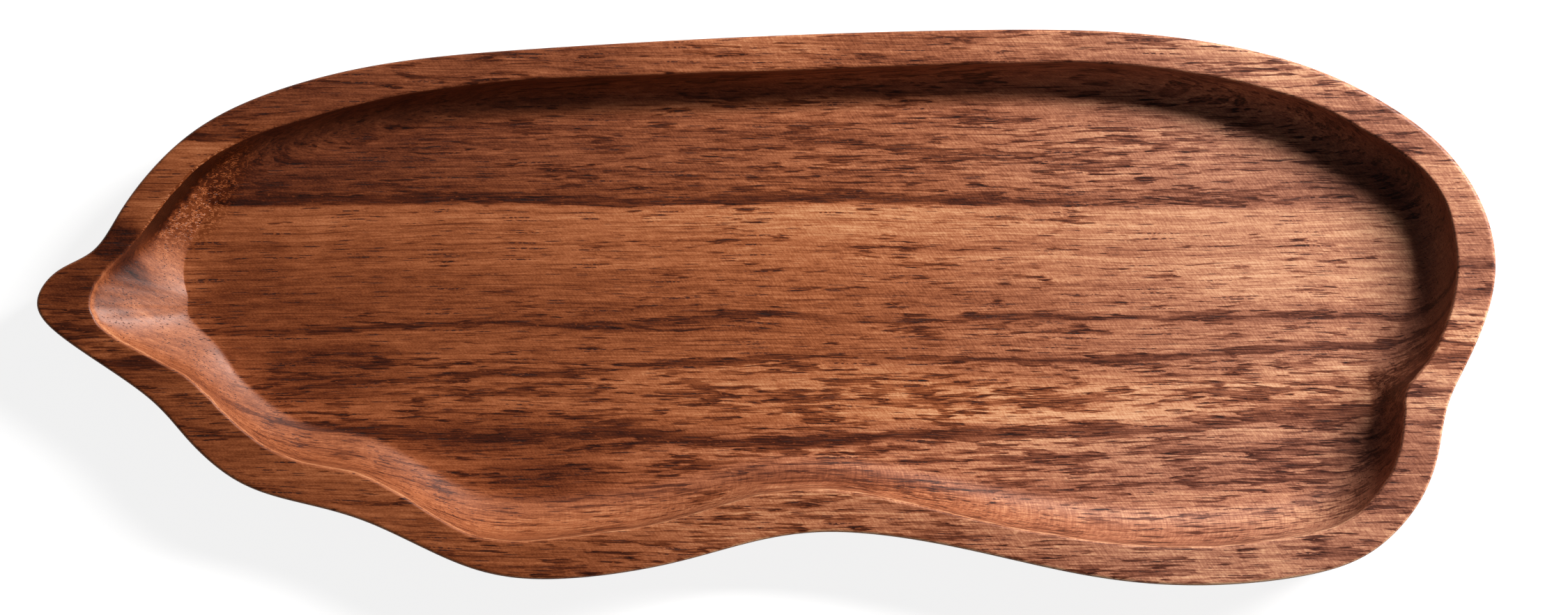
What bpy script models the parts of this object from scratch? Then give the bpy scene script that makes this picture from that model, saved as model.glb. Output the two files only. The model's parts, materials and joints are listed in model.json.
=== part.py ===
"""Free-form serving tray, carved from one board of acacia.

The board's outline is a long rounded body with a beak at its left end, a waist along its front
edge and a notch at its right end. A flat-floored hollow follows the outline inside an even rim.
Lengths are in metres. The underside rests on Z = 0, the length runs along X, and the origin is
below the middle of the outline's bounding box.
"""

import math

import bmesh
import bpy
import numpy as np

# Driving sizes
TRAY_LENGTH = 0.330
TRAY_WIDTH = 0.1257
TRAY_THICKNESS = 0.020
FLOOR_THICKNESS = 0.0075
RIM_WIDTH = 0.0088
COVE_WIDTH = 0.0090

# Rounded edges
FOOT_EDGE_RADIUS = 0.0030
RIM_OUTER_RADIUS = 0.0009
RIM_INNER_RADIUS = 0.0007

# A bevelled wall falls steeply at first and then in an even slope: how far in its steep part leans,
# as a share of what the whole wall does over the same depth, and how soft the bend below it is
BEVEL_LEAN_SHARE = 0.29
BEVEL_BLEND_SHARE = 0.08

# The middle line that the rim and the cove are measured towards, as a share of the tray's length
SPINE_LENGTH_SHARE = 0.716

# Mesh fineness
POINTS_PER_SPAN = 5
EDGE_STEPS = 3
COVE_STEPS = 9

# Stations round the outline, clockwise from the beak's tip: place along the length and across
# the width from the tray's middle, then the local width of the rim, the local width of the cove,
# how far the wall is bevelled (1) and not a cove (0), and the share of the depth where a bevel bends.
STATION_SHARES = (
    (-0.500, +0.009, 1.40, 2.25, 1.00, 0.00),
    (-0.487, +0.064, 1.12, 2.10, 1.00, 0.12),
    (-0.462, +0.102, 0.70, 1.60, 1.00, 0.32),
    (-0.442, +0.177, 0.81, 1.05, 1.00, 0.58),
    (-0.406, +0.289, 0.87, 0.92, 0.80, 0.58),
    (-0.358, +0.368, 0.97, 1.00, 0.30, 0.58),
    (-0.272, +0.434, 0.92, 1.00, 0.00, 0.58),
    (-0.157, +0.466, 0.80, 1.00, 0.00, 0.58),
    (-0.014, +0.487, 0.92, 1.00, 0.00, 0.58),
    (+0.158, +0.500, 0.87, 1.00, 0.00, 0.58),
    (+0.272, +0.489, 0.86, 1.00, 0.00, 0.58),
    (+0.364, +0.440, 0.91, 1.00, 0.00, 0.58),
    (+0.426, +0.365, 0.88, 1.07, 0.00, 0.58),
    (+0.476, +0.252, 0.81, 1.04, 0.00, 0.58),
    (+0.500, +0.058, 1.04, 1.00, 0.00, 0.58),
    (+0.476, -0.124, 0.94, 1.00, 0.00, 0.58),
    (+0.468, -0.172, 1.12, 1.00, 0.00, 0.58),
    (+0.464, -0.218, 1.26, 1.00, 0.00, 0.58),
    (+0.460, -0.274, 1.25, 1.00, 0.00, 0.58),
    (+0.448, -0.350, 1.17, 1.00, 0.00, 0.58),
    (+0.423, -0.425, 1.08, 1.00, 0.00, 0.58),
    (+0.387, -0.472, 1.04, 1.00, 0.00, 0.58),
    (+0.301, -0.500, 1.01, 1.00, 0.00, 0.58),
    (+0.215, -0.480, 0.91, 1.00, 0.00, 0.58),
    (+0.129, -0.431, 0.86, 1.00, 0.00, 0.58),
    (+0.043, -0.404, 1.10, 0.88, 0.00, 0.58),
    (-0.014, -0.425, 1.16, 1.00, 0.00, 0.58),
    (-0.071, -0.464, 1.12, 1.15, 0.00, 0.58),
    (-0.153, -0.489, 1.02, 1.15, 0.10, 0.58),
    (-0.210, -0.462, 0.90, 1.15, 0.25, 0.58),
    (-0.273, -0.387, 1.18, 1.00, 0.40, 0.58),
    (-0.322, -0.350, 1.07, 1.00, 0.50, 0.58),
    (-0.363, -0.312, 1.41, 1.10, 0.50, 0.58),
    (-0.397, -0.237, 1.27, 0.98, 0.50, 0.58),
    (-0.424, -0.162, 1.02, 1.08, 0.70, 0.45),
    (-0.485, -0.049, 1.17, 2.02, 0.90, 0.10),
)

WOOD_COLOUR = (0.235, 0.085, 0.042, 1.0)
WOOD_ROUGHNESS = 0.45
SMOOTH_ANGLE = math.radians(40)


def clear_scene():
    """Removes whatever the open file holds."""
    for thing in list(bpy.data.objects):
        bpy.data.objects.remove(thing)


def wood():
    """Oiled acacia, as one plain Principled material."""
    material = bpy.data.materials.new("oiled_acacia")
    material.use_nodes = True
    shader = material.node_tree.nodes["Principled BSDF"]
    shader.inputs["Base Color"].default_value = WOOD_COLOUR
    shader.inputs["Roughness"].default_value = WOOD_ROUGHNESS
    shader.inputs["Metallic"].default_value = 0.0
    material.diffuse_color = WOOD_COLOUR
    return material


def inward_directions(places):
    """Unit directions from each place on the outline to the nearest point of the spine."""
    half_spine = TRAY_LENGTH * SPINE_LENGTH_SHARE / 2
    nearest = np.zeros_like(places)
    nearest[:, 0] = np.clip(places[:, 0], -half_spine, half_spine)
    towards = nearest - places
    return towards / np.linalg.norm(towards, axis=1, keepdims=True)


def station_slopes(places, spans):
    """Slopes at the stations that make a closed cubic curve through them run smoothly."""
    count = len(places)
    system = np.zeros((count, count))
    wanted = np.zeros_like(places)
    for i in range(count):
        before, after = spans[i - 1], spans[i]
        following = (i + 1) % count
        system[i, i - 1] += 1 / before
        system[i, i] += 2 / before + 2 / after
        system[i, following] += 1 / after
        wanted[i] = 3 * (places[i] - places[i - 1]) / before**2
        wanted[i] += 3 * (places[following] - places[i]) / after**2
    return np.linalg.solve(system, wanted)


def closed_curve(places, spans):
    """Points along the smooth closed curve through the stations, as many to each span."""
    slopes = station_slopes(places, spans)
    points = []
    for i, span in enumerate(spans):
        following = (i + 1) % len(places)
        for step in range(POINTS_PER_SPAN):
            t = step / POINTS_PER_SPAN
            rise = t * t * (3 - 2 * t)
            leave = t * (1 - t) ** 2 * span
            arrive = t * t * (t - 1) * span
            points.append(
                (1 - rise) * places[i]
                + rise * places[following]
                + leave * slopes[i]
                + arrive * slopes[following]
            )
    return np.array(points)


def outward_normals(ring):
    """Unit normals of a closed ring of points that runs clockwise, pointing away from its inside."""
    along = np.roll(ring, -1, axis=0) - np.roll(ring, 1, axis=0)
    normals = np.column_stack((-along[:, 1], along[:, 0]))
    return normals / np.linalg.norm(normals, axis=1, keepdims=True)


def fitted(ring):
    """The move and the scale that give the outline exactly the tray's length and width."""
    low, high = ring.min(axis=0), ring.max(axis=0)
    scale = np.array((TRAY_LENGTH, TRAY_WIDTH)) / (high - low)
    return (low + high) / 2, scale


def level(ring, height):
    """A flat ring's points in three dimensions, all at one height."""
    return np.column_stack((ring, np.full(len(ring), height)))


def cove_reach(depth):
    """How far in from its top a coved wall is at a share of the hollow's depth: a quarter round."""
    return 1 - math.sqrt(1 - depth**2)


def bevel_reach(depth, bend):
    """The same for a wall that falls steeply as far as its bend and then in an even slope."""

    def past_the_bend(share):
        return np.hypot(share - bend, BEVEL_BLEND_SHARE) + share

    slope = (past_the_bend(depth) - past_the_bend(0)) / (past_the_bend(1) - past_the_bend(0))
    return BEVEL_LEAN_SHARE * depth + (1 - BEVEL_LEAN_SHARE) * slope


def tray_rings():
    """Every ring of the tray's surface, from the underside up and over the rim to the hollow's floor."""
    shares = np.array(STATION_SHARES)
    stations = shares[:, 0:2] * (TRAY_LENGTH, TRAY_WIDTH)
    spans = np.linalg.norm(np.roll(stations, -1, axis=0) - stations, axis=1) ** 0.5
    middle, scale = fitted(closed_curve(stations, spans))
    stations = (stations - middle) * scale

    inward = inward_directions(stations)
    hollow_stations = stations + inward * shares[:, 2:3] * RIM_WIDTH
    floor_stations = hollow_stations + inward * shares[:, 3:4] * COVE_WIDTH
    outline = closed_curve(stations, spans)
    hollow_edge = closed_curve(hollow_stations, spans)
    floor_edge = closed_curve(floor_stations, spans)
    bevel = closed_curve(shares[:, 4:5], spans).clip(0, 1)
    bend = closed_curve(shares[:, 5:6], spans).clip(0, 1)

    outline_normals = outward_normals(outline)
    hollow_normals = outward_normals(hollow_edge)
    quarter = [math.pi / 2 * step / EDGE_STEPS for step in range(EDGE_STEPS + 1)]
    rings = []
    for turn in quarter:
        inset = FOOT_EDGE_RADIUS * (1 - math.sin(turn))
        height = FOOT_EDGE_RADIUS * (1 - math.cos(turn))
        rings.append(level(outline - outline_normals * inset, height))
    for turn in quarter:
        inset = RIM_OUTER_RADIUS * (1 - math.cos(turn))
        height = TRAY_THICKNESS - RIM_OUTER_RADIUS * (1 - math.sin(turn))
        rings.append(level(outline - outline_normals * inset, height))
    for turn in quarter:
        inset = RIM_INNER_RADIUS * (1 - math.sin(turn))
        height = TRAY_THICKNESS - RIM_INNER_RADIUS * (1 - math.cos(turn))
        rings.append(level(hollow_edge + hollow_normals * inset, height))
    wall_top = TRAY_THICKNESS - RIM_INNER_RADIUS
    wall_drop = wall_top - FLOOR_THICKNESS
    for step in range(1, COVE_STEPS + 1):
        depth = math.sin(math.pi / 2 * step / COVE_STEPS)
        reach = (1 - bevel) * cove_reach(depth) + bevel * bevel_reach(depth, bend)
        ring = hollow_edge + (floor_edge - hollow_edge) * reach
        rings.append(level(ring, wall_top - wall_drop * depth))
    return rings


def first_ring(mesh, places):
    """A closed loop of new edges through the places."""
    ring = [mesh.verts.new(place) for place in places]
    for one, other in zip(ring, ring[1:] + ring[:1]):
        mesh.edges.new((one, other))
    return ring


def loop_edges(mesh, ring):
    """The edges that join a ring's points in turn."""
    return [mesh.edges.get(pair) for pair in zip(ring, ring[1:] + ring[:1])]


def extruded_ring(mesh, ring, places):
    """Extrudes a ring's loop of edges, and moves the new loop to its own places."""
    made = bmesh.ops.extrude_edge_only(mesh, edges=loop_edges(mesh, ring))["geom"]
    fresh = {part for part in made if isinstance(part, bmesh.types.BMVert)}
    following = []
    for old, place in zip(ring, places):
        new = next(edge.other_vert(old) for edge in old.link_edges if edge.other_vert(old) in fresh)
        new.co = place
        following.append(new)
    return following


def carved_tray(collection):
    """The whole tray: its surface is drawn up ring by ring, and closed by the underside and the floor."""
    rings = tray_rings()
    mesh = bmesh.new()
    ring = first_ring(mesh, rings[0])
    bmesh.ops.contextual_create(mesh, geom=loop_edges(mesh, ring))
    for places in rings[1:]:
        ring = extruded_ring(mesh, ring, places)
    bmesh.ops.contextual_create(mesh, geom=loop_edges(mesh, ring))
    bmesh.ops.recalc_face_normals(mesh, faces=mesh.faces)

    data = bpy.data.meshes.new("carved_tray")
    mesh.to_mesh(data)
    mesh.free()
    data.shade_smooth()
    data.set_sharp_from_angle(angle=SMOOTH_ANGLE)
    data.materials.append(wood())
    tray = bpy.data.objects.new("carved_tray", data)
    collection.objects.link(tray)
    return tray


def main():
    clear_scene()
    collection = bpy.data.collections.new("serving_tray")
    bpy.context.scene.collection.children.link(collection)
    carved_tray(collection)


main()
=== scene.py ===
"""Free-form serving tray carved from one board of oiled acacia, seen from straight above.

The board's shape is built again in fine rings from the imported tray's sizes, and its wood is one
solid pattern: growth rings that lie at a slant in the board, flecks, fibres and pores along it.
"""

import json
import math

import bmesh
import bpy
import numpy as np
from mathutils import Matrix, Vector


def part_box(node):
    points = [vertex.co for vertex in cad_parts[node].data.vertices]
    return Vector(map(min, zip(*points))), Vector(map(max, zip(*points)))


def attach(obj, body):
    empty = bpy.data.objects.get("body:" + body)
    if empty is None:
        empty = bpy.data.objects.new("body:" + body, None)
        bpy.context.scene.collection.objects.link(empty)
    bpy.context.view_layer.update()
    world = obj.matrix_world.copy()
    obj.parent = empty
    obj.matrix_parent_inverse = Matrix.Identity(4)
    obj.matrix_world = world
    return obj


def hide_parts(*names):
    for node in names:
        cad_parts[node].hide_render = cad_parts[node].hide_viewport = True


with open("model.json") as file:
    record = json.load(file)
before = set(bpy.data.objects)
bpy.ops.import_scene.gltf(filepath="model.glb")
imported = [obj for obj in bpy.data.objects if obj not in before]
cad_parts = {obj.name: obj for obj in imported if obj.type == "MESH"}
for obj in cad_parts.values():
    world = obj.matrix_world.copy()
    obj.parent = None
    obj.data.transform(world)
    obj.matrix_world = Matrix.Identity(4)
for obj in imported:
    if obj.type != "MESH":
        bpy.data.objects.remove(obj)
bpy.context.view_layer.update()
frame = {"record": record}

MM = 0.001

# The board's sizes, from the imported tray
board_low, board_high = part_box("carved_tray")
TRAY_LENGTH = board_high[0] - board_low[0]
TRAY_WIDTH = board_high[1] - board_low[1]
TRAY_THICKNESS = board_high[2] - board_low[2]
FLOOR_HEIGHT = next(
    mount["pos_m"][2] for mount in frame["record"]["mounts"] if mount["name"] == "serving_floor"
)
RIM_WIDTH = 8.8 * MM
COVE_WIDTH = 9.0 * MM
FOOT_EDGE_RADIUS = 3.0 * MM
RIM_OUTER_RADIUS = 0.9 * MM
RIM_INNER_RADIUS = 0.7 * MM
BEVEL_LEAN_SHARE = 0.29
BEVEL_BLEND_SHARE = 0.08
SPINE_LENGTH_SHARE = 0.716

# How finely the surface is drawn
POINTS_PER_SPAN = 16
EDGE_STEPS = 6
COVE_STEPS = 24
SIDE_SHARES = (0.05, 0.95)
RIM_SHARES = (0.05, 0.50, 0.95)
FLOOR_SHARES = (0.02, 0.15, 0.35, 0.60, 0.85)

# How the top of the wall is marked for its finish: over how many rings it is burnished, and how
# slowly it fades out as wall towards the floor
BURNISHED_STEPS = 4
WALL_FADE = 0.25

# The hand that sanded the rim: how far its inner edge swings, in waves round the outline
SWAY = 0.16 * MM
SWAY_WAVES = ((23, 0.4, 0.45), (41, 2.1, 0.30), (67, 4.0, 0.25))

# Stations round the outline, clockwise from the beak's tip: place along the length and across
# the width from the tray's middle, then the local width of the rim, the local width of the cove,
# how far the wall is bevelled (1) and not a cove (0), and the share of the depth where a bevel bends.
STATION_SHARES = (
    (-0.500, +0.009, 1.40, 2.25, 1.00, 0.00),
    (-0.487, +0.064, 1.12, 2.10, 1.00, 0.12),
    (-0.462, +0.102, 0.70, 1.60, 1.00, 0.32),
    (-0.442, +0.177, 0.81, 1.05, 1.00, 0.58),
    (-0.406, +0.289, 0.87, 0.92, 0.80, 0.58),
    (-0.358, +0.368, 0.97, 1.00, 0.30, 0.58),
    (-0.272, +0.434, 0.92, 1.00, 0.00, 0.58),
    (-0.157, +0.466, 0.80, 1.00, 0.00, 0.58),
    (-0.014, +0.487, 0.92, 1.00, 0.00, 0.58),
    (+0.158, +0.500, 0.87, 1.00, 0.00, 0.58),
    (+0.272, +0.489, 0.86, 1.00, 0.00, 0.58),
    (+0.364, +0.440, 0.91, 1.00, 0.00, 0.58),
    (+0.426, +0.365, 0.88, 1.07, 0.00, 0.58),
    (+0.476, +0.252, 0.81, 1.04, 0.00, 0.58),
    (+0.500, +0.058, 1.04, 1.00, 0.00, 0.58),
    (+0.476, -0.124, 0.94, 1.00, 0.00, 0.58),
    (+0.468, -0.172, 1.12, 1.00, 0.00, 0.58),
    (+0.464, -0.218, 1.26, 1.00, 0.00, 0.58),
    (+0.460, -0.274, 1.25, 1.00, 0.00, 0.58),
    (+0.448, -0.350, 1.17, 1.00, 0.00, 0.58),
    (+0.423, -0.425, 1.08, 1.00, 0.00, 0.58),
    (+0.387, -0.472, 1.04, 1.00, 0.00, 0.58),
    (+0.301, -0.500, 1.01, 1.00, 0.00, 0.58),
    (+0.215, -0.480, 0.91, 1.00, 0.00, 0.58),
    (+0.129, -0.431, 0.86, 1.00, 0.00, 0.58),
    (+0.043, -0.404, 1.10, 0.88, 0.00, 0.58),
    (-0.014, -0.425, 1.16, 1.00, 0.00, 0.58),
    (-0.071, -0.464, 1.12, 1.15, 0.00, 0.58),
    (-0.153, -0.489, 1.02, 1.15, 0.10, 0.58),
    (-0.210, -0.462, 0.90, 1.15, 0.25, 0.58),
    (-0.273, -0.387, 1.18, 1.00, 0.40, 0.58),
    (-0.322, -0.350, 1.07, 1.00, 0.50, 0.58),
    (-0.363, -0.312, 1.41, 1.10, 0.50, 0.58),
    (-0.397, -0.237, 1.27, 0.98, 0.50, 0.58),
    (-0.424, -0.162, 1.02, 1.08, 0.70, 0.45),
    (-0.485, -0.049, 1.17, 2.02, 0.90, 0.10),
)


# Shape of the board


def nearest_on_spine(places):
    """The nearest point of the board's middle line to each place."""
    half_spine = TRAY_LENGTH * SPINE_LENGTH_SHARE / 2
    nearest = np.zeros_like(places)
    nearest[:, 0] = np.clip(places[:, 0], -half_spine, half_spine)
    return nearest


def inward_directions(places):
    """Unit directions from each place on the outline to the board's middle line."""
    towards = nearest_on_spine(places) - places
    return towards / np.linalg.norm(towards, axis=1, keepdims=True)


def station_slopes(places, spans):
    """Slopes at the stations that make a closed cubic curve through them run smoothly."""
    count = len(places)
    system = np.zeros((count, count))
    wanted = np.zeros_like(places)
    for i in range(count):
        before, after = spans[i - 1], spans[i]
        following = (i + 1) % count
        system[i, i - 1] += 1 / before
        system[i, i] += 2 / before + 2 / after
        system[i, following] += 1 / after
        wanted[i] = 3 * (places[i] - places[i - 1]) / before**2
        wanted[i] += 3 * (places[following] - places[i]) / after**2
    return np.linalg.solve(system, wanted)


def closed_curve(places, spans):
    """Points along the smooth closed curve through the stations, as many to each span."""
    slopes = station_slopes(places, spans)
    points = []
    for i, span in enumerate(spans):
        following = (i + 1) % len(places)
        for step in range(POINTS_PER_SPAN):
            t = step / POINTS_PER_SPAN
            rise = t * t * (3 - 2 * t)
            leave = t * (1 - t) ** 2 * span
            arrive = t * t * (t - 1) * span
            points.append(
                (1 - rise) * places[i]
                + rise * places[following]
                + leave * slopes[i]
                + arrive * slopes[following]
            )
    return np.array(points)


def outward_normals(ring):
    """Unit normals of a closed ring of points that runs clockwise, pointing away from its inside."""
    along = np.roll(ring, -1, axis=0) - np.roll(ring, 1, axis=0)
    normals = np.column_stack((-along[:, 1], along[:, 0]))
    return normals / np.linalg.norm(normals, axis=1, keepdims=True)


def fitted(ring):
    """The move and the scale that give the outline exactly the tray's length and width."""
    low, high = ring.min(axis=0), ring.max(axis=0)
    scale = np.array((TRAY_LENGTH, TRAY_WIDTH)) / (high - low)
    return (low + high) / 2, scale


def level(ring, height):
    """A flat ring's points in three dimensions, all at one height."""
    return np.column_stack((ring, np.full(len(ring), height)))


def hand_sway(count):
    """How far sanding by hand moved the rim's inner edge, at each point round it."""
    turns = np.linspace(0, 2 * math.pi, count, endpoint=False)
    swings = [share * np.sin(waves * turns + phase) for waves, phase, share in SWAY_WAVES]
    return (SWAY * sum(swings))[:, None]


def cove_reach(depth):
    """How far in from its top a coved wall is at a share of the hollow's depth: a quarter round."""
    return 1 - math.sqrt(1 - depth**2)


def bevel_reach(depth, bend):
    """The same for a wall that falls steeply as far as its bend and then in an even slope."""

    def past_the_bend(share):
        return np.hypot(share - bend, BEVEL_BLEND_SHARE) + share

    slope = (past_the_bend(depth) - past_the_bend(0)) / (past_the_bend(1) - past_the_bend(0))
    return BEVEL_LEAN_SHARE * depth + (1 - BEVEL_LEAN_SHARE) * slope


class Edges:
    """The board's edges as closed rings of points, and how the wall between them is bevelled."""

    def __init__(self):
        table = np.array(STATION_SHARES)
        stations = table[:, :2] * (TRAY_LENGTH, TRAY_WIDTH)
        rim_widths, cove_widths, bevelled, bends = np.hsplit(table[:, 2:], 4)
        spans = np.sqrt(np.linalg.norm(np.roll(stations, -1, axis=0) - stations, axis=1))
        middle, scale = fitted(closed_curve(stations, spans))
        stations = (stations - middle) * scale
        inward = inward_directions(stations)
        hollow_stations = stations + inward * rim_widths * RIM_WIDTH
        floor_stations = hollow_stations + inward * cove_widths * COVE_WIDTH
        even_hollow = closed_curve(hollow_stations, spans)

        self.outline = closed_curve(stations, spans)
        self.outline_normals = outward_normals(self.outline)
        self.hollow_normals = outward_normals(even_hollow)
        self.hollow = even_hollow + self.hollow_normals * hand_sway(len(even_hollow))
        self.floor = closed_curve(floor_stations, spans)
        self.bevel = closed_curve(bevelled, spans).clip(0, 1)
        self.bend = closed_curve(bends, spans).clip(0, 1)


def quarter_turns():
    """The angles of the rings that round an edge."""
    return [math.pi / 2 * step / EDGE_STEPS for step in range(EDGE_STEPS + 1)]


def side_rings(edges):
    """Rings round the edge of the foot and up the outer side."""
    rings = []
    for turn in quarter_turns():
        inset = FOOT_EDGE_RADIUS * (1 - math.sin(turn))
        height = FOOT_EDGE_RADIUS * (1 - math.cos(turn))
        rings.append((level(edges.outline - edges.outline_normals * inset, height), 0, 0))
    low, high = FOOT_EDGE_RADIUS, TRAY_THICKNESS - RIM_OUTER_RADIUS
    for share in SIDE_SHARES:
        rings.append((level(edges.outline, low + (high - low) * share), 0, 0))
    return rings


def rim_rings(edges):
    """Rings round the rim's outer edge, across its top and round its inner edge."""
    rings = []
    for turn in quarter_turns():
        inset = RIM_OUTER_RADIUS * (1 - math.cos(turn))
        height = TRAY_THICKNESS - RIM_OUTER_RADIUS * (1 - math.sin(turn))
        ring = level(edges.outline - edges.outline_normals * inset, height)
        rings.append((ring, math.sin(2 * turn), 0))
    outer = edges.outline - edges.outline_normals * RIM_OUTER_RADIUS
    inner = edges.hollow + edges.hollow_normals * RIM_INNER_RADIUS
    for share in RIM_SHARES:
        rings.append((level(outer + (inner - outer) * share, TRAY_THICKNESS), 0, 0))
    for turn in quarter_turns():
        inset = RIM_INNER_RADIUS * (1 - math.sin(turn))
        height = TRAY_THICKNESS - RIM_INNER_RADIUS * (1 - math.cos(turn))
        ring = level(edges.hollow + edges.hollow_normals * inset, height)
        rings.append((ring, math.sin(turn), math.sin(turn)))
    return rings


def wall_rings(edges):
    """Rings down the hollow's wall, from the rim's inner edge to the floor."""
    rings = []
    wall_top = TRAY_THICKNESS - RIM_INNER_RADIUS
    wall_drop = wall_top - FLOOR_HEIGHT
    for step in range(1, COVE_STEPS + 1):
        depth = math.sin(math.pi / 2 * step / COVE_STEPS)
        bevelled = bevel_reach(depth, edges.bend)
        reach = (1 - edges.bevel) * cove_reach(depth) + edges.bevel * bevelled
        ring = edges.hollow + (edges.floor - edges.hollow) * reach
        burnish = max(0, 1 - step / BURNISHED_STEPS)
        wall = (1 - depth**2) ** WALL_FADE
        rings.append((level(ring, wall_top - wall_drop * depth), burnish, wall))
    return rings


def floor_rings(edges):
    """Rings on the floor, from its edge in towards the board's middle line."""
    way_in = nearest_on_spine(edges.floor) - edges.floor
    return [(level(edges.floor + way_in * share, FLOOR_HEIGHT), 0, 0) for share in FLOOR_SHARES]


def board_rings():
    """The board's surface as rings of points, from the underside up and over the rim to the floor.

    Each ring comes with how burnished its stretch of the surface is, and how far it is wall, 0 to 1.
    """
    edges = Edges()
    return side_rings(edges) + rim_rings(edges) + wall_rings(edges) + floor_rings(edges)


def first_ring(mesh, places):
    """A closed loop of new edges through the places."""
    ring = [mesh.verts.new(place) for place in places]
    for one, other in zip(ring, ring[1:] + ring[:1]):
        mesh.edges.new((one, other))
    return ring


def loop_edges(mesh, ring):
    """The edges that join a ring's points in turn."""
    return [mesh.edges.get(pair) for pair in zip(ring, ring[1:] + ring[:1])]


def extruded_ring(mesh, ring, places):
    """Extrudes a ring's loop of edges, and moves the new loop to its own places."""
    made = bmesh.ops.extrude_edge_only(mesh, edges=loop_edges(mesh, ring))["geom"]
    fresh = {part for part in made if isinstance(part, bmesh.types.BMVert)}
    following = []
    for old, place in zip(ring, places):
        new = next(edge.other_vert(old) for edge in old.link_edges if edge.other_vert(old) in fresh)
        new.co = place
        following.append(new)
    return following


def carved_board(finish):
    """The tray's fine surface, drawn up ring by ring and closed by the underside and the floor."""
    rings = board_rings()
    mesh = bmesh.new()
    burnish = mesh.verts.layers.float.new("burnish")
    wall = mesh.verts.layers.float.new("wall")
    ring = first_ring(mesh, rings[0][0])
    bmesh.ops.contextual_create(mesh, geom=loop_edges(mesh, ring))
    for places, burnished, walled in rings[1:]:
        ring = extruded_ring(mesh, ring, places)
        for vert in ring:
            vert[burnish] = burnished
            vert[wall] = walled
    bmesh.ops.contextual_create(mesh, geom=loop_edges(mesh, ring))
    bmesh.ops.recalc_face_normals(mesh, faces=mesh.faces)

    data = bpy.data.meshes.new("carved_board")
    mesh.to_mesh(data)
    mesh.free()
    data.shade_smooth()
    data.materials.append(finish)
    board = bpy.data.objects.new("carved_board", data)
    bpy.context.scene.collection.objects.link(board)
    return board


# Materials as sums and products


class Flow:
    """A value on its way through a finish's nodes: arithmetic on it adds Math nodes."""

    def __init__(self, finish, socket):
        self.finish = finish
        self.socket = socket

    def maths(self, operation, *values):
        """The output of a Math node that works on the values."""
        return self.finish.node("ShaderNodeMath", {"operation": operation}, dict(enumerate(values)))

    def __add__(self, other):
        return self.maths("ADD", self, other)

    def __radd__(self, other):
        return self.maths("ADD", other, self)

    def __sub__(self, other):
        return self.maths("SUBTRACT", self, other)

    def __rsub__(self, other):
        return self.maths("SUBTRACT", other, self)

    def __mul__(self, other):
        return self.maths("MULTIPLY", self, other)

    def __rmul__(self, other):
        return self.maths("MULTIPLY", other, self)

    def __truediv__(self, other):
        return self.maths("DIVIDE", self, other)

    def __abs__(self):
        return self.maths("ABSOLUTE", self)

    def most(self, other):
        """The larger of two values."""
        return self.maths("MAXIMUM", self, other)

    def least(self, other):
        """The smaller of two values."""
        return self.maths("MINIMUM", self, other)

    def step_up(self, start, end):
        """0 below start, 1 above end, and a smooth rise between them."""
        return self.finish.node(
            "ShaderNodeMapRange",
            {"interpolation_type": "SMOOTHSTEP"},
            {"Value": self, "From Min": start, "From Max": end},
        )

    def between(self, low, high, soft):
        """1 between low and high, fading out over a soft margin on either side."""
        return self.step_up(low - soft, low + soft) * (1 - self.step_up(high - soft, high + soft))


class Finish:
    """The nodes of a material or of the world. One method places any node and gives its output."""

    def __init__(self, owner, shader="Principled BSDF"):
        owner.use_nodes = True
        self.owner = owner
        self.nodes = owner.node_tree.nodes
        self.links = owner.node_tree.links
        self.shader = self.nodes[shader]

    def feed(self, socket, value):
        """Links a Flow into a socket, or sets the socket's own value."""
        if isinstance(value, Flow):
            self.links.new(value.socket, socket)
        else:
            socket.default_value = value

    def node(self, kind, settings=None, inputs=None, output=0):
        """Adds a node, sets it up, feeds its inputs and gives one of its outputs."""
        node = self.nodes.new(kind)
        for name, setting in (settings or {}).items():
            if name == "stops":
                self.set_stops(node.color_ramp, setting)
            elif name == "curve":
                self.set_curve(node.mapping, setting)
            else:
                setattr(node, name, setting)
        for name, value in (inputs or {}).items():
            self.feed(node.inputs[name], value)
        return Flow(self, node.outputs[output])

    def set_stops(self, ramp, stops):
        """Gives a colour ramp its stops: place and colour."""
        for place, colour in stops[1:-1]:
            ramp.elements.new(place)
        for element, (place, colour) in zip(ramp.elements, stops):
            element.position = place
            element.color = (*colour, 1)

    def set_curve(self, mapping, points):
        """Gives a float curve its points."""
        line = mapping.curves[0]
        for place, height in points[1:-1]:
            line.points.new(place, height)
        for point, (place, height) in zip(line.points, points):
            point.location = (place, height)
        mapping.update()

    def vector(self, x, y, z):
        """A vector from its three parts."""
        return self.node("ShaderNodeCombineXYZ", {}, {0: x, 1: y, 2: z})

    def blend(self, factor, one, other):
        """One colour going over into another."""
        settings = {"data_type": "RGBA", "blend_type": "MIX", "clamp_result": True}
        return self.node("ShaderNodeMix", settings, {0: factor, 6: one, 7: other}, output=2)

    def surface(self, **inputs):
        """Feeds the shader's own sockets, named with underscores for spaces."""
        for name, value in inputs.items():
            self.feed(self.shader.inputs[name.replace("_", " ")], value)


# Wood


# The growth rings lie at a slant: how far across the board they move for each length down
RING_SLANT = 1.02
RING_SLANT_PER_MM = -0.0008

# The tone of the plain wood across the growth rings: place in mm across the board, on the
# hollow's floor, and tone from 0, darkest, to 1, lightest.
RING_REACH = 80
RING_TONES = (
    (-80, 0.66), (-62, 0.76), (-52, 0.82), (-44, 0.78), (-39, 0.74), (-34, 0.78), (-31, 0.68),
    (-27, 0.68), (-24, 0.84), (-19, 0.92), (-13.0, 0.88), (-10.5, 0.72), (-9, 0.70), (-6, 0.74),
    (-2.5, 0.70), (1, 0.66), (6, 0.73), (11, 0.82), (15, 0.82), (19, 0.88), (23, 0.86),
    (24, 0.60), (27, 0.58), (33, 0.66), (40, 0.64), (47, 0.72), (80, 0.70),
)

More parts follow.
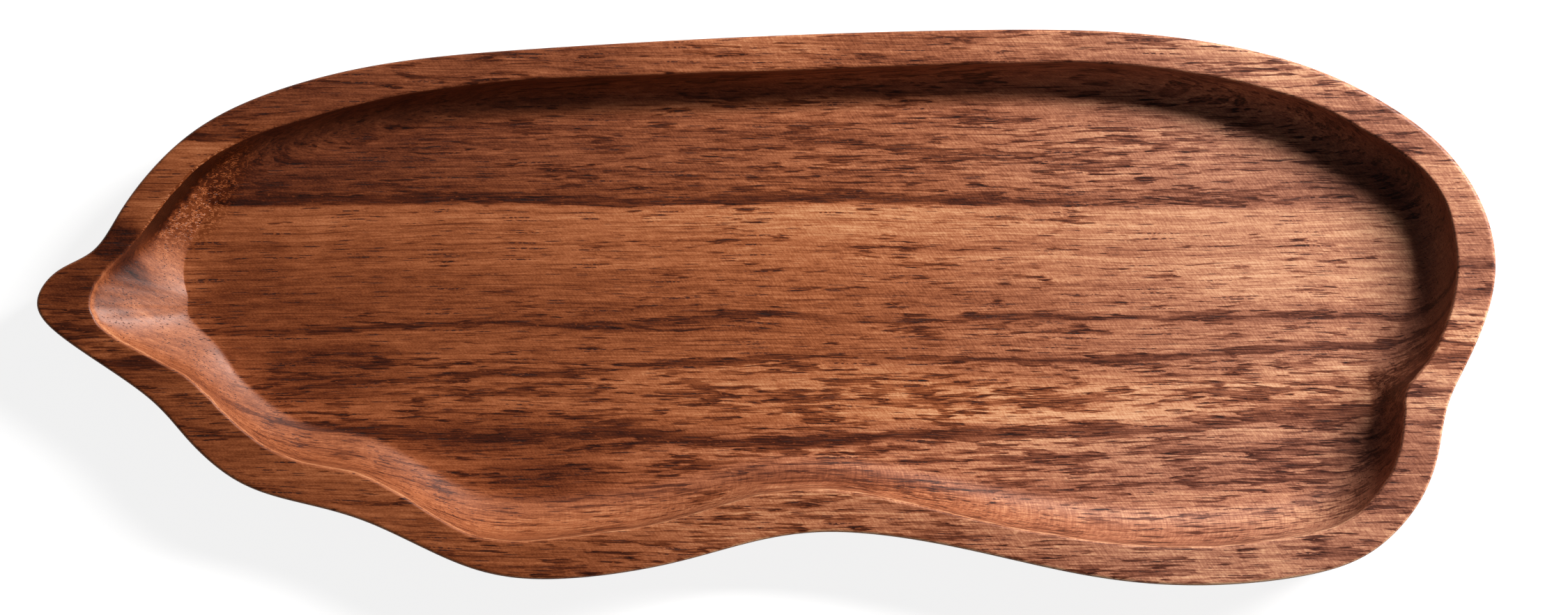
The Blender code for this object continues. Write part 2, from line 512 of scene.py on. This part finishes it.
# How thick the dark flecks lie across the growth rings: place in mm, and share from 0 to 1
FLECK_SHARES = (
    (-80, 0.55), (-60, 0.60), (-50, 0.45), (-43, 0.55), (-38, 0.60), (-32, 0.70), (-27.5, 0.55),
    (-25, 0.72), (-20, 0.78), (-16, 0.74), (-13, 0.66), (-10, 0.34), (-4, 0.30), (-1, 0.40),
    (1.5, 0.18), (10, 0.10), (15, 0.06), (23.5, 0.04), (24.2, 0.75), (27, 0.62), (31, 0.52),
    (37, 0.60), (43, 0.45), (52, 0.58), (80, 0.50),
)

# Dark lines along the board: places along and across in mm, on the hollow's floor, then how far
# each fades out above, how many times faster it fades below, how dark it is at the beak's end,
# and how dark at the other end
DARK_LINES = (
    (((-165, 24.6), (-117, 24.2), (-60, 24.0), (-35, 23.4), (0, 23.9), (30, 24.3), (70, 24.0),
      (92, 24.2), (112, 23.2), (165, 21.8)), 2.4, 3.0, 1.10, 0.30),
    (((-165, -5.0), (-98, -5.2), (-70, -3.8), (-40, -4.8), (-20, -3.2), (0, -1.6), (16, -2.5),
      (60, -2.4), (110, -2.4), (165, -2.2)), 1.9, 1.6, 0.75, 0.85),
    (((-165, -19), (-117, -18.6), (-102, -17.9), (-55, -15.5), (-23, -13.1), (8, -11.5),
      (35, -11.6), (70, -12.0), (92, -11.4), (112, -10.1), (165, -7.4)), 1.6, 1.3, 0.65, 0.85),
    (((-165, -26), (-98, -28.4), (-60, -29.6), (-40, -29.0), (-20, -30.1), (0, -31.0),
      (16, -30.4), (54, -28.5), (92, -27.9), (112, -25.6), (130, -24.4), (165, -21)), 2.2, 1.2, 1.0, 0.8),
    (((-165, -20), (-60, -20.0), (-20, -19.8), (16, -20.9), (54, -21.5), (92, -20.3),
      (112, -19.4), (130, -17.2), (165, -14)), 1.6, 1.0, 0.40, 0.40),
    (((-165, 14.6), (-60, 14.2), (0, 14.4), (20, 13.9), (60, 13.4), (165, 14.0)), 1.0, 1.0, 0.3, 0.3),
    (((-165, -36), (-60, -36.5), (0, -36.0), (50, -34.6), (90, -33.0), (165, -29)), 1.6, 1.0, 0.35, 0.35),
    (((-165, -43), (-60, -43.5), (0, -43.0), (50, -41.8), (90, -40.6), (165, -36)), 1.6, 1.0, 0.35, 0.35),
)

# Soft patches of lighter and darker tone, mostly the wood's own, with painted light on the beak's ramp
# and painted shade near the upper wall's shadow: middle along and across in mm, reach along and across,
# and how much tone each adds
TONE_PATCHES = (
    (-120, 36, 75, 16, -0.08),
    (-130, -8, 60, 20, 0.02),
    (-50, -30, 45, 7, -0.12),
    (-105, -32, 40, 12, 0.12),
    # painted light: the beak's ramp, which faces the lamp, is lightened
    (-136, -6, 15, 8, 0.22),
    (-147, 1, 9, 7, -0.28),
    (-118, 12, 12, 10, -0.06),
    (-97, -15, 24, 9, -0.24),
    (-55, -15, 24, 7, -0.10),
    (65, 33, 75, 11, 0.10),
    (0, 22, 60, 9, 0.08),
    (75, -26, 80, 6, 0.06),
    (118, 6, 35, 8, 0.15),
    (14, -41, 30, 6, -0.30),
    (-135, 5, 9, 8, 0.16),
    (-157, -14, 9, 12, -0.20),
    (-50, -39, 20, 7, -0.22),
    (20, -19, 50, 7, 0.04),
    (115, -2, 60, 10, 0.06),
    (70, -20, 70, 7, 0.12),
    (0, -33, 45, 8, 0.08),
    (70, -33, 45, 8, 0.14),
    (115, 21, 60, 5, -0.04),
    (75, -15, 55, 5, -0.20),
    (60, -27, 90, 5, 0.13),
    (-149, -9, 6, 5, -0.07),
    # partly painted shade: darker near where the upper wall's shadow falls on the floor
    (-48, 46, 40, 8, -0.05),
    (-133, 9, 12, 9, 0.06),
    (-50, -57, 25, 8, 0.05),
    (20, -36, 18, 5, 0.10),
    (80, -36, 30, 5, -0.04),
    (130, 48, 60, 14, 0.14),
)

# The same on the rim alone, by place across the board and not by ring
RIM_PATCHES = (
    (-105, 45, 50, 24, 0.12),
    (-10, 60, 32, 12, 0.12),
    (32, 62, 22, 12, -0.12),
    (118, 55, 30, 14, 0.10),
    (0, -50, 50, 12, 0.09),
    (102, -57, 30, 12, 0.09),
    (144, -40, 24, 13, -0.26),
    (149, -18, 12, 8, 0.14),
    (-132, 31, 14, 10, 0.05),
)

# The wood's colours by tone, from 0, the darkest, to the lightest: warm, and rosy
LIGHTEST_TONE = 1.25
WARM_STOPS = (
    (0.0, (0.012, 0.001, 0.000)),
    (0.2, (0.080, 0.013, 0.002)),
    (0.4, (0.190, 0.042, 0.010)),
    (0.6, (0.330, 0.088, 0.027)),
    (0.8, (0.500, 0.157, 0.058)),
    (1.0, (0.690, 0.285, 0.125)),
    (1.25, (0.900, 0.460, 0.230)),
)
ROSY_STOPS = (
    (0.0, (0.012, 0.002, 0.001)),
    (0.2, (0.080, 0.018, 0.009)),
    (0.4, (0.190, 0.059, 0.033)),
    (0.6, (0.330, 0.118, 0.067)),
    (0.8, (0.505, 0.207, 0.119)),
    (1.0, (0.730, 0.355, 0.200)),
    (1.25, (0.930, 0.550, 0.330)),
)

# How far the growth rings wander across the board, in mm: in long bends and in short ripples
RING_BEND = 3.2
RING_RIPPLE = 0.9

# How far the tables of the dark lines reach from the tray's middle, in mm
LINE_REACH_ALONG = 165
LINE_REACH_ACROSS = 50

# How ragged the dark lines are, in mm, and how dark they stay where they break
LINE_RAGGEDNESS = 2.4
LINE_IN_BREAKS = 0.45

# What the flecks' thickness gains in clumps, by slanting gaps and on dark lines, and what it
# loses in plain wood
FLECK_CLUMPS = 1.8
FLECK_GAPS = 1.3
FLECKS_ON_LINES = 1.3
FLECKS_LOST_IN_PLAIN = 0.30

# How far the flecks grow with their thickness, and how much paler their middles are
FLECK_GROWTH = 0.22
FLECK_MIDDLE_LOSS = 0.22

# How much of a fleck's darkness is left at least: between its threads, and in the palest fleck
FLECK_BETWEEN_THREADS = 0.40
PALEST_FLECK = 0.55

# The slant of the fine cross strokes, in degrees
STROKE_SLANT = -52

# How far each kind of grain moves the tone. Two values stand for the figured wood of the notched
# end and the plain wood of the beak's end.
BROAD_SWING = 0.22
MOTTLE_SWING = 0.30
GRIT_SWING = 0.36
STREAK_SWING = (0.54, 0.40)
FIBRE_SWING = (0.66, 0.40)
SHORT_FIBRE_SWING = (0.34, 0.22)
STROKE_SWING = 0.12
STROKE_SWING_GAIN = 0.40

# Which share of the tone each kind of dark mark takes, and what the specks in the flecks give back
LINE_DARKNESS = 0.44
FLECK_DARKNESS = 0.90
PORE_DARKNESS = (0.72, 0.82)
LONG_THREAD_DARKNESS = 0.40
FINE_THREAD_DARKNESS = 0.28
SPECK_LIGHT = 0.40

# How the tone rises along the board as a whole, and where it starts
TONE_RISE = 0.34
TONE_START = -0.30

# What the carving adds to the tone or takes from it: burnished edges are lighter; the inner edge on the
# side facing the lamp is rubbed light and carries a painted highlight; the front wall, facing the lamp,
# gets painted light; the walls turned away from it, the upper wall and the right end, get painted shade,
# with the right end's end grain darker too; and the front wall under the rim gets painted shade
END_GRAIN_AND_PAINTED_SHADE = 0.32
BURNISH_LIGHT = 0.08
FRONT_WALL_PAINTED_LIGHT = 0.09
RUBBED_EDGE_HIGHLIGHT = 0.26
RUBBED_EDGE_HIGHLIGHT_GAIN = 0.20
UNDER_RIM_SHADE = 0.08

# How much of the dark lines and of the flecks the beak's wall loses
BEAK_LINE_LOSS = 0.85
BEAK_FLECK_LOSS = 0.75

# The dried oil on the beak's upper wall, the painted glints on its wrinkles, and the dark band along the
# wall's top
OIL_DARKNESS = 0.34
WRINKLE_PAINTED_GLINT = 0.40
DARK_BAND_DARKNESS = 0.90
DARK_BAND_UNEVENNESS = 0.16

# The height of each kind of mark in the wood's relief, and the whole relief's strength and depth
FIBRE_HEIGHT = 0.4
STROKE_HEIGHT = 0.6
GRIT_HEIGHT = 0.4
PORE_DEPTH = 0.8
WRINKLE_HEIGHT = 1.6
RELIEF_STRENGTH = 0.55
RELIEF_DEPTH = 0.05 * MM

# The wood's gloss, and the thin veil of oil on the wall
ROUGHNESS = 0.45
PORE_ROUGHNESS = 0.20
STROKE_ROUGHNESS = 0.12
OIL_SMOOTHNESS = 0.15
WOOD_IOR = 1.5
WOOD_SPECULAR = 0.35
VEIL = 0.44
VEIL_ROUGHNESS = 0.6
VEIL_IOR = 1.6


class Timber:
    """Places inside the board, in mm: along it, across it, up from the hollow's floor, and by ring.

    The grain's own places run along the board, through the growth rings and within a ring.
    Plainness goes from 1 in the plain wood of the beak's end to 0 in the figured wood.
    """

    def __init__(self, finish):
        self.finish = finish
        place = finish.node("ShaderNodeTexCoord", output="Object")
        parts = [finish.node("ShaderNodeSeparateXYZ", {}, {0: place}, output=i) for i in range(3)]
        self.along = parts[0] * (1 / MM)
        straight_across = parts[1] * (1 / MM)
        self.up = (parts[2] - FLOOR_HEIGHT) * (1 / MM)
        self.plainness = 1 - self.along.step_up(-130, 10)
        self.straight = finish.vector(self.along, straight_across, self.up)
        bend = self.noise_in(self.straight, (90, 34, 34), (3, 1, 7), detail=1) - 0.5
        ripple = self.noise_in(self.straight, (22, 7, 7), (11, 5, 2), detail=1) - 0.5
        self.across = straight_across + bend * RING_BEND + ripple * RING_RIPPLE
        slant = RING_SLANT + RING_SLANT_PER_MM * self.along
        self.ring = self.across - slant * self.up
        ring_angle = math.atan(RING_SLANT)
        through = self.ring * math.cos(ring_angle)
        within = self.across * math.sin(ring_angle) + self.up * math.cos(ring_angle)
        self.place = finish.vector(self.along, through, within)

    def in_grains(self, place, size, offset):
        """A place counted in grains of this size in mm on each axis, and moved by an offset."""
        count = self.finish.node("ShaderNodeVectorMath", {"operation": "DIVIDE"}, {0: place, 1: size})
        return self.finish.node("ShaderNodeVectorMath", {"operation": "ADD"}, {0: count, 1: offset})

    def noise_in(self, place, size, offset, detail=2.0, roughness=0.5, distortion=0.0):
        """Soft noise whose grains have this size in mm on each axis of the place."""
        inputs = {"Vector": self.in_grains(place, size, offset), "Scale": 1.0}
        inputs.update({"Detail": detail, "Roughness": roughness, "Distortion": distortion})
        return self.finish.node("ShaderNodeTexNoise", {}, inputs)

    def noise(self, size, offset, **kinds):
        """Soft noise whose grains have this size in mm along the board, through a ring and within it."""
        return self.noise_in(self.place, size, offset, **kinds)

    def grains(self, size, offset):
        """How far a place is from its nearest grain, and that grain's own random number."""
        settings = {"feature": "F1", "distance": "MINKOWSKI"}
        inputs = {"Vector": self.in_grains(self.place, size, offset), "Scale": 1.0, "Exponent": 2.0}
        distance = self.finish.node("ShaderNodeTexVoronoi", settings, inputs)
        colour = Flow(self.finish, distance.socket.node.outputs["Color"])
        return distance, self.finish.node("ShaderNodeSeparateColor", {}, {0: colour})

    def figured_to_plain(self, strengths):
        """A strength that goes over from its value in figured wood to its value in plain wood."""
        figured, plain = strengths
        return figured + self.plainness * (plain - figured)


class Carving:
    """How burnished a place is and how far it is wall, from 0 to 1, and the wall's own stretches."""

    def __init__(self, timber):
        attribute = "ShaderNodeAttribute"
        self.burnish = timber.finish.node(attribute, {"attribute_name": "burnish"}, output="Fac")
        self.wall = timber.finish.node(attribute, {"attribute_name": "wall"}, output="Fac")
        self.at_beak = self.wall.step_up(0.15, 0.60) * (1 - timber.along.step_up(-126, -112))
        self.front = self.wall * (1 - timber.across.step_up(8, 22))
        self.past_waist = timber.along.step_up(5, 45) * (1 - timber.along.step_up(105, 125))
        self.under_rim = self.front * self.wall.step_up(0.55, 0.85) * self.past_waist


def across_rings(timber, table):
    """A value that is given in a table across the growth rings."""
    stops = [((place + RING_REACH) / (2 * RING_REACH), (value,) * 3) for place, value in table]
    share = (timber.ring + RING_REACH) / (2 * RING_REACH)
    return timber.finish.node("ShaderNodeValToRGB", {"stops": stops}, {0: share})


def patches(timber, place_across, table):
    """Slow changes of tone that no growth ring explains, added up."""
    total = 0
    for along, across, reach_along, reach_across, tone in table:
        off_along = (timber.along - along) * (1 / reach_along)
        off_across = (place_across - across) * (1 / reach_across)
        off = off_along * off_along + off_across * off_across
        total = total + (1 - off.step_up(0, 1)) * tone
    return total


def line_across(timber, places):
    """Where across the board a dark line lies, in mm, at each place along the board."""
    points = []
    for along, across in places:
        share = (along + LINE_REACH_ALONG) / (2 * LINE_REACH_ALONG)
        points.append((share, 0.5 + across / (2 * LINE_REACH_ACROSS)))
    share_along = (timber.along + LINE_REACH_ALONG) / (2 * LINE_REACH_ALONG)
    height = timber.finish.node("ShaderNodeFloatCurve", {"curve": points}, {"Value": share_along})
    return (height - 0.5) * (2 * LINE_REACH_ACROSS)


def dark_lines(timber):
    """Dark growth lines, each fading upwards and stopping sharply below, broken along its length."""
    ragged = (timber.noise((18, 1.0, 3.5), (7, 3, 9), detail=2) - 0.5) * LINE_RAGGEDNESS
    breaks = timber.noise((26, 3.5, 12), (1, 2, 4), detail=2).step_up(0.30, 0.56)
    towards_the_end = timber.along.step_up(0, 80)
    total = None
    for places, fade, sharpness, darkness, end_darkness in DARK_LINES:
        off = timber.ring + ragged - line_across(timber, places)
        strength = darkness + towards_the_end * (end_darkness - darkness)
        mark = (1 - off.most(off * -sharpness).step_up(0, fade)) * strength
        total = mark if total is None else total.most(mark)
    return total * (LINE_IN_BREAKS + (1 - LINE_IN_BREAKS) * breaks)


def fleck_thickness(timber, line):
    """How thick the flecks lie: by growth ring, in clumps, and in slanting gaps at the right."""
    clumps = timber.noise((22, 3.2, 10), (3, 9, 2), detail=1) - 0.5
    leaning_along = timber.along * 0.8 + timber.across * 0.6
    leaning_across = timber.across - timber.along * 0.3
    leaning = timber.finish.vector(leaning_along, leaning_across, timber.up)
    gaps = timber.noise_in(leaning, (7, 18, 9), (2, 1, 6), detail=0.5) - 0.5
    figured = timber.along.step_up(-60, 60)
    thickness = across_rings(timber, FLECK_SHARES) + clumps * FLECK_CLUMPS
    thickness = thickness + gaps * figured * FLECK_GAPS + line * FLECKS_ON_LINES
    return thickness - timber.plainness * FLECKS_LOST_IN_PLAIN


def threads(timber, length, breadth, offset, start, end):
    """Thin lines along the fibres, 1 in a line and 0 beside it."""
    size = (length, breadth, breadth * 3)
    return timber.noise(size, offset, detail=1, roughness=0.6).step_up(start, end)


def flecks(timber, thickness):
    """Dark lens-shaped flecks: a stain with a darker outline, filled with thin threads."""
    body = timber.noise((8.5, 0.62, 2.2), (2, 6, 1), detail=2, roughness=0.55)
    field = body + thickness * FLECK_GROWTH
    middle = field.step_up(0.74, 0.80)
    stain = field.step_up(0.640, 0.725) * (1 - middle * FLECK_MIDDLE_LOSS)
    thread = threads(timber, 6.0, 0.17, (4, 4, 12), 0.38, 0.58)
    filling = FLECK_BETWEEN_THREADS + (1 - FLECK_BETWEEN_THREADS) * thread
    luck = timber.noise((9, 1.1, 4), (6, 2, 9), detail=0).step_up(0.30, 0.62)
    return stain * filling * (PALEST_FLECK + (1 - PALEST_FLECK) * luck)


def dashes(timber, size, offset, thickness):
    """Thin dashes along the fibres, each as long and as thick as its luck."""
    off, luck = timber.grains(size, offset)
    return 1 - (off - luck * thickness).step_up(-0.10, 0.04)


def pores(timber):
    """Open pores: dark dashes, lone or in long broken chains, which show as dots on the ends."""
    beads = timber.noise((1.1, 0.5, 0.5), (1, 1, 1), detail=1, roughness=0.6).step_up(0.42, 0.56)
    chains = dashes(timber, (18, 0.62, 0.62), (5, 2, 8), 0.34)
    lone = dashes(timber, (8.0, 0.46, 0.46), (1, 7, 3), 0.32)
    return (chains * (0.15 + 0.85 * beads)).most(lone * (0.60 + 0.40 * beads))


def brushed(timber):
    """Short fine strokes that cross the grain at a slant, as on oiled and sanded acacia."""
    turn = math.radians(STROKE_SLANT)
    round_the_board = timber.across + timber.up
    down_stroke = timber.along * math.cos(turn) + round_the_board * math.sin(turn)
    over_stroke = timber.along * -math.sin(turn) + round_the_board * math.cos(turn)
    place = timber.finish.vector(down_stroke, over_stroke, timber.up * 0.3)
    return timber.noise_in(place, (1.5, 0.36, 1.5), (3, 8, 1), detail=1.5)


class Marks:
    """The marks that show in more than the wood's tone.

    Lines, flecks and pores go from 0 to 1. Strokes, fibres and grit swing to both sides of 0.
    """

    def __init__(self, timber, carving):
        line = dark_lines(timber)
        self.line = line * (1 - carving.at_beak * BEAK_LINE_LOSS)
        fleck = flecks(timber, fleck_thickness(timber, line))
        self.fleck = fleck * (1 - carving.at_beak * BEAK_FLECK_LOSS)
        self.pore = pores(timber)
        self.stroke = brushed(timber) - 0.5
        self.fibres = timber.noise((14, 0.32, 1.1), (9, 9, 1), detail=3, roughness=0.6) - 0.5
        self.grit = timber.noise((0.5, 0.20, 0.3), (8, 3, 3), detail=1) - 0.5


def ground_tone(timber):
    """The tone that changes slowly: by growth ring, in patches, and from one end to the other."""
    tone = across_rings(timber, RING_TONES) + patches(timber, timber.ring, TONE_PATCHES)
    on_rim = timber.up.step_up(11.2, 12.3)
    tone = tone + patches(timber, timber.across, RIM_PATCHES) * on_rim
    return tone + timber.along.step_up(-170, 100) * TONE_RISE + TONE_START


def grained_tone(timber, marks):
    """The wood's tone with its streaks and fibres, and with its dark marks in it."""
    broad = timber.noise((60, 6.3, 22), (2, 2, 2), detail=1) - 0.5
    mottle = timber.noise((5, 0.9, 2.5), (4, 1, 8), detail=1) - 0.5
    streaks = timber.noise((75, 1.05, 5), (6, 1, 3), detail=3, roughness=0.6) - 0.5
    short_fibres = timber.noise((3.6, 0.24, 0.7), (2, 5, 9), detail=1) - 0.5
    stroke_swing = STROKE_SWING + timber.along.step_up(-100, 60) * STROKE_SWING_GAIN
    tone = ground_tone(timber) + broad * BROAD_SWING + mottle * MOTTLE_SWING
    tone = tone + marks.grit * GRIT_SWING + marks.stroke * stroke_swing
    tone = tone + streaks * timber.figured_to_plain(STREAK_SWING)
    tone = tone + marks.fibres * timber.figured_to_plain(FIBRE_SWING)

    long_threads = threads(timber, 38.0, 0.20, (7, 3, 1), 0.62, 0.72)
    fine_threads = threads(timber, 13.0, 0.15, (1, 12, 5), 0.58, 0.74)
    tone = tone * (1 - marks.line * LINE_DARKNESS) * (1 - marks.fleck * FLECK_DARKNESS)
    tone = tone * (1 - marks.pore * timber.figured_to_plain(PORE_DARKNESS))
    tone = tone * (1 - fine_threads * FINE_THREAD_DARKNESS)
    tone = tone * (1 - long_threads * LONG_THREAD_DARKNESS)
    specks = timber.noise((1.1, 0.25, 0.5), (5, 2, 6), detail=0).step_up(0.70, 0.80)
    tone = tone + marks.fleck * specks * SPECK_LIGHT
    return tone + short_fibres * timber.figured_to_plain(SHORT_FIBRE_SWING)


def carved_tone(timber, carving, tone):
    """The tone with the carving's marks: burnished edges lighter, rubbed light and a painted highlight on
    the inner edge facing the lamp, painted light on the front wall, and painted shade on the walls turned
    away from the lamp and under the front rim.
    """
    # painted shade on the upper wall and the right end wall, which are turned away from the lamp; at the
    # right end the end grain is darker too
    upper_wall_shade = timber.across.step_up(28, 44) * timber.along.step_up(-40, 30) * 0.35
    end_grain_and_shade = timber.along.step_up(122, 146).most(upper_wall_shade) * carving.wall.step_up(0.1, 0.5)
    # painted highlight and rubbed light along the rim's inner edge on the side that faces the lamp
    rubbed_edge_highlight = carving.burnish.step_up(0.72, 0.95) * (1 - timber.across.step_up(0, 20))
    edge_highlight = RUBBED_EDGE_HIGHLIGHT + carving.past_waist * RUBBED_EDGE_HIGHLIGHT_GAIN
    tone = tone * (1 - end_grain_and_shade * END_GRAIN_AND_PAINTED_SHADE) + carving.burnish * BURNISH_LIGHT
    # painted light on the front wall, which faces the lamp
    tone = tone + carving.front * (1 - carving.past_waist) * FRONT_WALL_PAINTED_LIGHT
    return tone + rubbed_edge_highlight * edge_highlight - carving.under_rim * UNDER_RIM_SHADE


def oil_wrinkles(timber, carving):
    """Small wrinkles that the oil dried into where it ran together, on the beak's upper wall. Their
    ridges show in the relief, and they are also lightened in the colour as painted glints.

    Gives back the wrinkles, and how far a place is under the dried oil.
    """
    grain = timber.noise_in(timber.straight, (1.05, 0.50, 0.9), (5, 5, 5), detail=1, distortion=0.2)
    broken = timber.noise_in(timber.straight, (1.1, 0.8, 1.1), (8, 2, 6), detail=0).step_up(0.40, 0.56)
    ridge = (1 - abs(grain - 0.5) * 7).step_up(0.25, 0.85) * broken
    past_the_foot = timber.along - timber.across * 0.5
    oiled = carving.wall.step_up(0.02, 0.20).most(past_the_foot.step_up(-140, -138))
    oiled = oiled * (1 - past_the_foot.step_up(-139, -132)) * timber.across.between(16, 38, 5)
    return ridge * oiled, oiled


def upper_wall_dark_band(timber, carving):
    """A dark band along the top of the beak's upper wall, just under the rim."""
    uneven = timber.noise_in(timber.straight, (1.6, 1.6, 1.6), (4, 4, 4), detail=1) - 0.5
    darkened_band = (carving.wall + uneven * DARK_BAND_UNEVENNESS).step_up(0.84, 0.94)
    return darkened_band * (1 - timber.along.step_up(-130, -116)) * timber.across.step_up(11, 20)


def rosiness(timber, carving, marks, oiled):
    """How rosy the wood is and not warm: most of all towards the notched end."""
    notched_end = timber.along.step_up(0, 130) * 0.95
    back_rings = timber.ring.step_up(20, 34) * 0.20
    front_rings = (1 - timber.ring.step_up(-34, -22)) * timber.along.step_up(-60, 20) * 0.30
    warm_rings = timber.ring.between(-26, -15, 3) * 0.15
    rosy = notched_end + back_rings + front_rings - warm_rings
    rosy = rosy - marks.fleck * 0.30 - oiled * 0.30 - carving.under_rim * 0.35
    return rosy.least(1).most(0)


def toned(tone, colours):
    """The colour of a tone, from a table of colours."""
    stops = [(place / LIGHTEST_TONE, colour) for place, colour in colours]
    return tone.finish.node("ShaderNodeValToRGB", {"stops": stops}, {0: tone / LIGHTEST_TONE})


def oiled_acacia():
    """The board's wood, as one solid pattern."""
    finish = Finish(bpy.data.materials.new("oiled_acacia"))
    timber = Timber(finish)
    carving = Carving(timber)
    marks = Marks(timber, carving)
    wrinkle_and_glint, oiled = oil_wrinkles(timber, carving)
    dark_band = upper_wall_dark_band(timber, carving)

    tone = carved_tone(timber, carving, grained_tone(timber, marks))
    tone = tone * (1 - oiled * OIL_DARKNESS) * (1 - dark_band * DARK_BAND_DARKNESS)
    # painted glints: the wrinkles' ridges are lightened in the colour
    tone = tone + wrinkle_and_glint * (1 - dark_band) * WRINKLE_PAINTED_GLINT
    rosy = rosiness(timber, carving, marks, oiled)
    colour = finish.blend(rosy, toned(tone, WARM_STOPS), toned(tone, ROSY_STOPS))

    height = marks.fibres * FIBRE_HEIGHT + marks.stroke * STROKE_HEIGHT
    height = height + marks.grit * GRIT_HEIGHT - marks.pore * PORE_DEPTH
    height = height + wrinkle_and_glint * WRINKLE_HEIGHT
    relief = {"Strength": RELIEF_STRENGTH, "Distance": RELIEF_DEPTH, "Height": height}
    bump = finish.node("ShaderNodeBump", {}, relief)
    roughness = ROUGHNESS + marks.pore * PORE_ROUGHNESS + marks.stroke * STROKE_ROUGHNESS
    roughness = roughness - oiled * OIL_SMOOTHNESS
    finish.surface(Base_Color=colour, Roughness=roughness, Normal=bump)
    finish.surface(IOR=WOOD_IOR, Specular_IOR_Level=WOOD_SPECULAR)

    veil = carving.wall.step_up(0.25, 0.75) * (1 - oiled * 0.7) * VEIL
    veil = veil * (1 - timber.across.step_up(12, 30) * 0.6)
    finish.surface(Coat_Weight=veil, Coat_Roughness=VEIL_ROUGHNESS, Coat_IOR=VEIL_IOR)
    return finish.owner


# Studio


FLOOR_SIZE = 3.0
FLOOR_TONE = 0.40
FLOOR_GLOW = 0.86
FLOOR_ROUGHNESS = 0.9
CAMERA_HEIGHT = 1.0
CAMERA_SIDE = 4.0 * MM
VIEW_WIDTH = 354.4 * MM
SENSOR_WIDTH = 36.0
STRIP_PLACE = (0.75, 0.44, 0.60)
STRIP_LENGTH = 0.60
STRIP_BREADTH = 0.15
STRIP_WATTS = 18.2
STRIP_COLOUR = (1.0, 0.98, 0.96)
SURROUND = 0.048
BACKDROP = 0.90


def grey(tone):
    """A grey of this brightness, with its alpha."""
    return (tone, tone, tone, 1)


def studio_floor():
    """A wide pale floor that the tray stands on. The camera sees it near white, with its shadow."""
    mesh = bmesh.new()
    bmesh.ops.create_grid(mesh, x_segments=1, y_segments=1, size=FLOOR_SIZE / 2)
    data = bpy.data.meshes.new("studio_floor")
    mesh.to_mesh(data)
    mesh.free()
    finish = Finish(bpy.data.materials.new("pale_floor"))
    camera_ray = finish.node("ShaderNodeLightPath", output="Is Camera Ray")
    glossy_ray = finish.node("ShaderNodeLightPath", output="Is Glossy Ray")
    glow = finish.blend(camera_ray + glossy_ray, grey(0), grey(FLOOR_GLOW))
    finish.surface(Base_Color=grey(FLOOR_TONE), Roughness=FLOOR_ROUGHNESS)
    finish.surface(Emission_Color=glow, Emission_Strength=1.0)
    data.materials.append(finish.owner)
    floor = bpy.data.objects.new("studio_floor", data)
    bpy.context.scene.collection.objects.link(floor)


def strip_lamp():
    """A long softbox to the upper right that runs from low down to high up, as broad as a hand."""
    lamp = bpy.data.lights.new("strip_lamp", "AREA")
    lamp.shape = "RECTANGLE"
    lamp.size = STRIP_LENGTH
    lamp.size_y = STRIP_BREADTH
    lamp.energy = STRIP_WATTS
    lamp.color = STRIP_COLOUR
    holder = bpy.data.objects.new("strip_lamp", lamp)
    away = Vector(STRIP_PLACE).normalized()
    long_way = (Vector((1, 0, 0)) - away * away.x).normalized()
    turn = Matrix((long_way, away.cross(long_way), away)).transposed()
    holder.matrix_world = Matrix.Translation(STRIP_PLACE) @ turn.to_4x4()
    bpy.context.scene.collection.objects.link(holder)


def studio_light():
    """The strip lamp, and a plain surround: pale for the camera, and dim as a light on the tray."""
    strip_lamp()
    world = bpy.data.worlds.new("surround")
    air = Finish(world, "Background")
    camera_ray = air.node("ShaderNodeLightPath", output="Is Camera Ray")
    air.surface(Color=grey(1), Strength=SURROUND + camera_ray * (BACKDROP - SURROUND))
    bpy.context.scene.world = world


def overhead_camera():
    """The photograph's camera: straight above the tray, with the tray filling its width."""
    lens = bpy.data.cameras.new("overhead")
    lens.sensor_width = SENSOR_WIDTH
    lens.lens = SENSOR_WIDTH * CAMERA_HEIGHT / VIEW_WIDTH
    camera = bpy.data.objects.new("overhead", lens)
    camera.location = (CAMERA_SIDE, 0, TRAY_THICKNESS + CAMERA_HEIGHT)
    bpy.context.scene.collection.objects.link(camera)
    bpy.context.scene.camera = camera


def build():
    """Puts up the tray, its surroundings and the camera."""
    board = carved_board(oiled_acacia())
    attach(board, "root")
    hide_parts("carved_tray")
    studio_floor()
    studio_light()
    overhead_camera()
    bpy.context.scene.view_settings.view_transform = "Standard"


build()


def plain(box):
    """A box's corners as plain lists of numbers."""
    return [[float(value) for value in corner] for corner in box]
